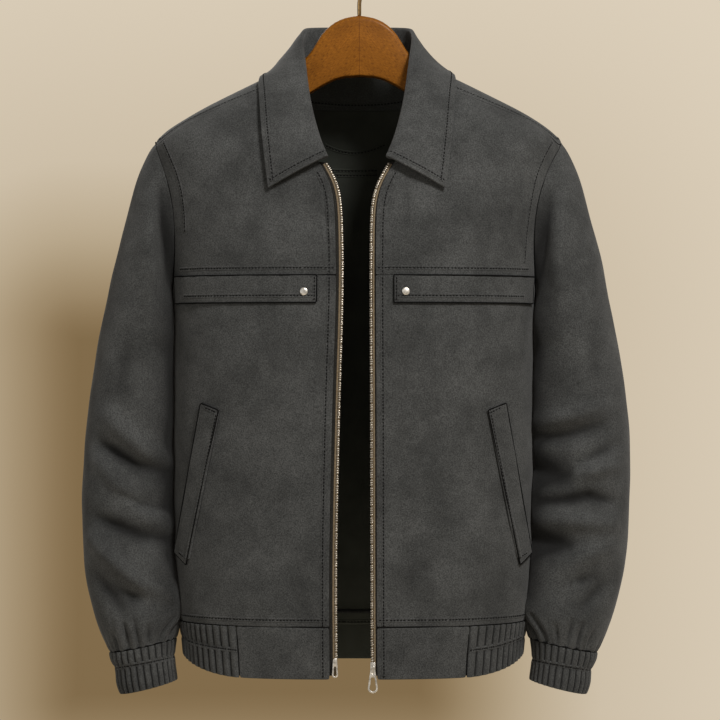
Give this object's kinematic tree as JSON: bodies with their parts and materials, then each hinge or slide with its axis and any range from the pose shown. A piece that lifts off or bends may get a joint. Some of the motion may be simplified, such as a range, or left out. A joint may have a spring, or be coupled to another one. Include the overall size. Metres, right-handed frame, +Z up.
{
  "type": "jacket on a hanger",
  "caption": "Zip-front jacket with a pointed turned-down collar, hung open on a wooden hanger with a wire hook",
  "frame": {"origin": "the inner top of the hanger's hook, where a rail holds it", "axes": "+Z is up, -Y is the jacket's front, and -X is the viewer's left and the wearer's right"},
  "size_m": [0.6145, 0.2309, 0.8391],
  "materials": {
    "cloth": "dark charcoal, matt and brushed like suede",
    "lining": "near-black plain weave",
    "tape": "beige woven tape",
    "metal": "pale polished zip metal",
    "wood": "orange-brown, clear varnish",
    "brass": "polished wire"
  },
  "bodies": {
    "garment": {"back_panel": "cloth", "chest_strip_left": "cloth", "chest_strip_right": "cloth", "collar": "cloth", "cuff_left": "cloth", "cuff_right": "cloth", "front_body_left": "cloth", "front_body_right": "cloth", "front_yoke_left": "cloth", "front_yoke_right": "cloth", "hanger_hook": "brass", "hanger_wood": "wood", "hem_back": "cloth", "hem_front_left": "cloth", "hem_front_right": "cloth", "hem_rib_left": "cloth", "hem_rib_right": "cloth", "lining_back": "lining", "neck_facing": "lining", "pocket_welt_left": "cloth", "pocket_welt_right": "cloth", "sleeve_left": "cloth", "sleeve_right": "cloth", "snap_left": "metal", "snap_right": "metal", "zip_pin_left": "metal", "zip_slider_right": "metal", "zip_tape_left": "tape", "zip_tape_right": "tape"},
    "zip_pull": {"zip_pull_right": "metal"}
  },
  "joints": [
    {"name": "zip_pull_swing", "type": "hinge", "parent": "garment", "child": "zip_pull", "pos_m": [0.0147, -0.1092, -0.7945], "axis": [-1, 0, 0], "range_deg": [0, 160]}
  ]
}
